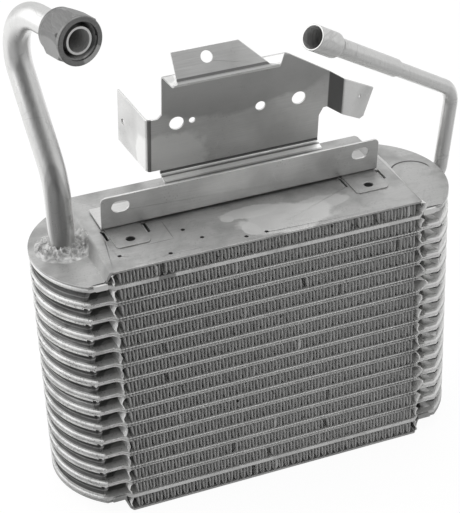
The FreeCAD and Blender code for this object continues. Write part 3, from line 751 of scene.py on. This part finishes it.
def nutThread():
    bm = bmesh.new()
    turns = int((nut["length"] - nut["wall"] - nut["threadSpare"]) / nut["threadPitch"])
    place = facing(nutRear + nutAxis * (nut["wall"] + nut["threadStart"]) * mm, nutAxis)
    pitch, radius = nut["threadPitch"] * mm, nut["thread"] * mm
    outer, inner = radius + nut["threadSunk"] * mm, radius - nut["threadDepth"] * mm
    corners = [(outer, 0), (inner, pitch * nut["crest"]), (outer, pitch * nut["foot"])]
    verts, edges = drawnLoop(bm, corners, place)
    bm.faces.new(verts)
    made = bmesh.ops.spin(bm, geom=edges, cent=mouth, axis=nutAxis, angle=2 * math.pi * turns,
                          dvec=nutAxis * pitch / nut["threadSteps"], steps=nut["threadSteps"] * turns,
                          use_merge=False)
    bmesh.ops.contextual_create(bm, geom=edgesIn(made["geom_last"]))
    bmesh.ops.recalc_face_normals(bm, faces=bm.faces)
    finishPiece(bm, "nutThread", "nut", [])


suctionPipe()
suctionNut()
nutThread()
print("suction tube and nut made")


# Braze: a lumpy skirt of filler round the foot of the suction tube

braze = {
    "centre": (-136.6, 5.2), "reach": 22.5, "wander": 3.0, "wanderScale": 1.6, "height": 5.0,
    "hollow": 2.2, "tube": 9.3, "rampStart": -123.5, "rampRise": 1.9, "rampTop": 8.0,
    "lumps": 3.0, "lumpScale": 0.3, "lumpSunk": 0.4, "lumpStart": 0.12, "lumpSpread": 0.6,
    "fine": 0.4, "fineScale": 0.7, "fineDetail": (1.0, 2.0, 2), "collar": 0.9, "sunk": 0.6,
    "around": 120, "out": 24, "creaseAngle": 180,
}
brazeSeeds = {"wander": 3, "lumps": 0, "fine": 5}  # layers of the noise


def brazeRise(x, y, share):  # the filler's height over the plate, with share 0 at the tube and 1 outside
    rise = braze["height"] * (1 - share) ** braze["hollow"]
    lumps = noise.noise(Vector((x, y, brazeSeeds["lumps"])) * braze["lumpScale"])
    fine = noise.fractal(Vector((x, y, brazeSeeds["fine"])) * braze["fineScale"], *braze["fineDetail"])
    rough = 1 - 2 * abs(lumps) - braze["lumpSunk"] + braze["fine"] * fine  # round crests, with creases
    swell = math.sin(math.pi * min(share + braze["lumpStart"], 1)) ** braze["lumpSpread"]
    return rise + braze["lumps"] * rough * swell + braze["collar"] * (1 - share)


def brazeSkirt():
    bm = bmesh.new()
    bmesh.ops.create_circle(bm, segments=braze["around"], radius=1, cap_ends=False)
    ring = bm.edges[:]
    for k in range(braze["out"]):
        ring = extrudeAlong(bm, ring, Vector((0, 0, -1)))
    for vert in bm.verts:
        share = -vert.co.z / braze["out"]
        angle = math.atan2(vert.co.y, vert.co.x)
        across, along = math.cos(angle), math.sin(angle)
        wander = noise.noise(Vector((across, along, brazeSeeds["wander"])) * braze["wanderScale"])
        reach = braze["reach"] + braze["wander"] * wander
        radius = braze["tube"] + (reach - braze["tube"]) * share
        x = braze["centre"][0] + radius * across
        y = braze["centre"][1] + radius * along
        ground = capTop
        if x > braze["rampStart"]:
            ground += min((x - braze["rampStart"]) * braze["rampRise"], braze["rampTop"])
        rise = -braze["sunk"] if share == 1 else max(brazeRise(x, y, share), -braze["sunk"])
        vert.co = inMetres(x, y, ground + rise)
    bmesh.ops.recalc_face_normals(bm, faces=bm.faces)
    finishPiece(bm, "suctionBraze", "filler", ["suction_braze"], braze["creaseAngle"], False)


brazeSkirt()
print("braze made")


# Liquid line: thin pipe and the wider tube with its open socket

liquid = {
    "elbow": (168.0, 12.0, 185.7), "tank": (94.3, 0, 185.7), "turn": (176.6, 10.0, 259.8),
    "mouth": (35.8, -51.7, 355.2), "bends": (12.0, 19.5), "outer": 5.55, "bore": 4.55, "around": 36,
    "reach": 101.0, "overlap": 12.0, "sheet": 1.15, "clearance": 0.05, "cupOuter": 9.2, "cup": 24.0,
    "cupBore": 30.0, "taper": 6.0, "rim": 0.25, "ease": (0.15, 0.7),
}
elbow, lineTurn, lineMouth = (inMetres(*liquid[key]) for key in ("elbow", "turn", "mouth"))
lineAxis = (lineMouth - lineTurn).normalized()


def liquidPipe():
    inward = (inMetres(*liquid["tank"]) - elbow).normalized()
    start = elbow + inward * (liquid["bends"][0] + liquid["bore"]) * mm
    end = lineMouth - lineAxis * (liquid["reach"] - liquid["overlap"]) * mm
    bm = bmesh.new()
    bentPipe(bm, [start, elbow, lineTurn, end], [radius * mm for radius in liquid["bends"]],
             (liquid["outer"] * mm, liquid["bore"] * mm), liquid["around"])
    bmesh.ops.recalc_face_normals(bm, faces=bm.faces)
    finishPiece(bm, "liquidPipe", "pipe", ["liquid_tube"])


def socketProfile():  # radius and height of the wider tube's wall, round its neck, taper and open cup
    inner = liquid["outer"] + liquid["clearance"]
    outer = inner + liquid["sheet"]
    cupOuter, reach = liquid["cupOuter"], liquid["reach"]
    cupInner = cupOuter - liquid["sheet"]
    cup = reach - liquid["cup"]
    neck = cup - liquid["taper"]
    rim = liquid["rim"]
    across, along = liquid["ease"]
    return [(inner, 0), (outer - rim, 0), (outer, rim), (outer, neck), (outer + across, neck + along),
            (cupOuter - across, cup - along), (cupOuter, cup), (cupOuter, reach - rim),
            (cupOuter - rim, reach), (cupInner + rim, reach), (cupInner, reach - rim), (cupInner, cup),
            (inner, neck)]


def liquidSocket():
    bm = bmesh.new()
    profile = [(radius * mm, height * mm) for radius, height in socketProfile()]
    lathe(bm, profile, lineMouth - lineAxis * liquid["reach"] * mm, lineAxis)
    bmesh.ops.recalc_face_normals(bm, faces=bm.faces)
    markBore(bm, lineMouth, lineAxis, liquid["cupOuter"] * mm, liquid["cupBore"] * mm)
    finishPiece(bm, "liquidSocket", "pipe", ["liquid_socket_tube"], inside="bore")


liquidPipe()
liquidSocket()
print("liquid line made")


# Floor, light and camera

studio = {
    "floor": 3.2, "floorLevel": -0.0002, "floorTone": (0.9, 0.9, 0.9, 1), "floorGlow": 0.88,
    "glow": 1.06, "leftLamp": ((-1.1, 0.35, 0.8), 1.6, 8.0), "topLamp": ((0.2, 0.3, 1.45), 1.1, 6.0),
    "aim": (0, 0, 0.2), "ambient": 0.42, "frontAxis": (-0.22, -0.97, 0.1), "front": 0.14, "back": 0.85,
    "frontSpan": (0.5, 0.96),
}
floorSeen = {  # the tones that reflections see in the floor, with places in metres
    "depth": (-0.05, 0.28), "back": 1.2,
    "across": [(-0.45, 0.5), (-0.25, 0.22), (0.0, 0.4), (0.2, 0.4), (0.45, 0.6), (0.9, 0.6)],
    "stand": (-0.05, -1.35), "standSize": (0.3, 0.35), "standTone": 0.04, "standEdge": (0.85, 1.15),
}


def emission(tree, strength):
    return addNode(tree, "ShaderNodeEmission", {"Color": white, "Strength": strength}).outputs[0]


def flatPlane(name, side, level):
    bm = bmesh.new()
    bmesh.ops.create_grid(bm, x_segments=1, y_segments=1, size=side / 2)
    bmesh.ops.translate(bm, vec=(0, 0, level), verts=bm.verts)
    mesh = bpy.data.meshes.new(name)
    bm.to_mesh(mesh)
    bm.free()
    plane = bpy.data.objects.new(name, mesh)
    scene.collection.objects.link(plane)
    material = bpy.data.materials.new(name)
    material.use_nodes = True
    material.node_tree.nodes.remove(material.node_tree.nodes["Principled BSDF"])
    mesh.materials.append(material)
    return material.node_tree


def mirroredFloor(tree):  # brighter behind the part, with the dark camera stand in front of it
    axes = axesOf(tree, addNode(tree, "ShaderNodeTexCoord").outputs["Object"])
    across = floorSeen["across"]
    level = across[0][1]
    for (fromX, _), (toX, tone) in zip(across, across[1:]):
        level = ranged(tree, axes["X"], fromX, toX, level, tone)
    level = ranged(tree, axes["Y"], *floorSeen["depth"], level, floorSeen["back"])
    offs = []
    for axis, middle, size in zip("XY", floorSeen["stand"], floorSeen["standSize"]):
        off = maths(tree, "DIVIDE", maths(tree, "SUBTRACT", axes[axis], middle), size)
        offs.append(maths(tree, "ABSOLUTE", off))
    away = maths(tree, "MAXIMUM", *offs)
    return ranged(tree, away, *floorSeen["standEdge"], floorSeen["standTone"], level)


def paleFloor():  # white to the camera, while reflections see a studio that is darker in front of the part
    tree = flatPlane("floor", studio["floor"], studio["floorLevel"])
    diffuse = addNode(tree, "ShaderNodeBsdfDiffuse", {"Color": studio["floorTone"]}).outputs[0]
    glow = emission(tree, studio["glow"])
    seen = addNode(tree, "ShaderNodeMixShader", {0: studio["floorGlow"], 1: diffuse, 2: glow}).outputs[0]
    mirrored = emission(tree, mirroredFloor(tree))
    glossy = addNode(tree, "ShaderNodeLightPath").outputs["Is Glossy Ray"]
    mix = addNode(tree, "ShaderNodeMixShader", {0: glossy, 1: seen, 2: mirrored}).outputs[0]
    tree.links.new(mix, tree.nodes["Material Output"].inputs["Surface"])


def addLamp(name, place, size, power):
    light = bpy.data.lights.new(name, "AREA")
    light.size = size
    light.energy = power
    lamp = bpy.data.objects.new(name, light)
    lamp.location = place
    lamp.rotation_mode = "QUATERNION"
    lamp.rotation_quaternion = (Vector(studio["aim"]) - Vector(place)).to_track_quat("-Z", "Y")
    scene.collection.objects.link(lamp)


def chosenLevel(tree, factor, first, second):
    inputs = {0: factor, 2: first, 3: second}
    return addNode(tree, "ShaderNodeMix", inputs, data_type="FLOAT").outputs[0]


def studioWorld():
    world = bpy.data.worlds.new("studio")
    world.use_nodes = True
    scene.world = world
    tree = world.node_tree
    path = addNode(tree, "ShaderNodeLightPath").outputs
    direction = addNode(tree, "ShaderNodeTexCoord").outputs["Generated"]
    toFront = vectorMaths(tree, "DOT_PRODUCT", direction, studio["frontAxis"], "Value")
    glossy = ranged(tree, toFront, *studio["frontSpan"], studio["back"], studio["front"])
    seen = maths(tree, "MAXIMUM", path["Is Camera Ray"], path["Is Transmission Ray"])
    level = chosenLevel(tree, path["Is Glossy Ray"], studio["ambient"], glossy)
    level = chosenLevel(tree, seen, level, 1.0)
    background = tree.nodes["Background"]
    background.inputs["Color"].default_value = white
    tree.links.new(level, background.inputs["Strength"])


paleFloor()
addLamp("leftLamp", *studio["leftLamp"])
addLamp("topLamp", *studio["topLamp"])
studioWorld()

camera = {
    "place": (-0.3837, -1.0242, 0.8318), "azimuth": -19.89, "elevation": 31.76, "roll": 2.51,
    "lens": 119.94, "sensor": 36, "shift": (0.0039, 0.0185), "clip": (0.05, 20),
}


def photoCamera():
    data = bpy.data.cameras.new("camera")
    data.lens = camera["lens"]
    data.sensor_width = camera["sensor"]
    data.shift_x, data.shift_y = camera["shift"]
    data.clip_start, data.clip_end = camera["clip"]
    eye = bpy.data.objects.new("camera", data)
    azimuth, elevation = math.radians(camera["azimuth"]), math.radians(camera["elevation"])
    back = Vector((math.sin(azimuth) * math.cos(elevation), -math.cos(azimuth) * math.cos(elevation),
                   math.sin(elevation)))
    roll = Quaternion((0, 0, 1), -math.radians(camera["roll"]))
    eye.location = camera["place"]
    eye.rotation_mode = "QUATERNION"
    eye.rotation_quaternion = (-back).to_track_quat("-Z", "Y") @ roll
    scene.collection.objects.link(eye)
    scene.camera = eye


photoCamera()
scene.view_settings.view_transform = "Standard"
print("studio and camera made")
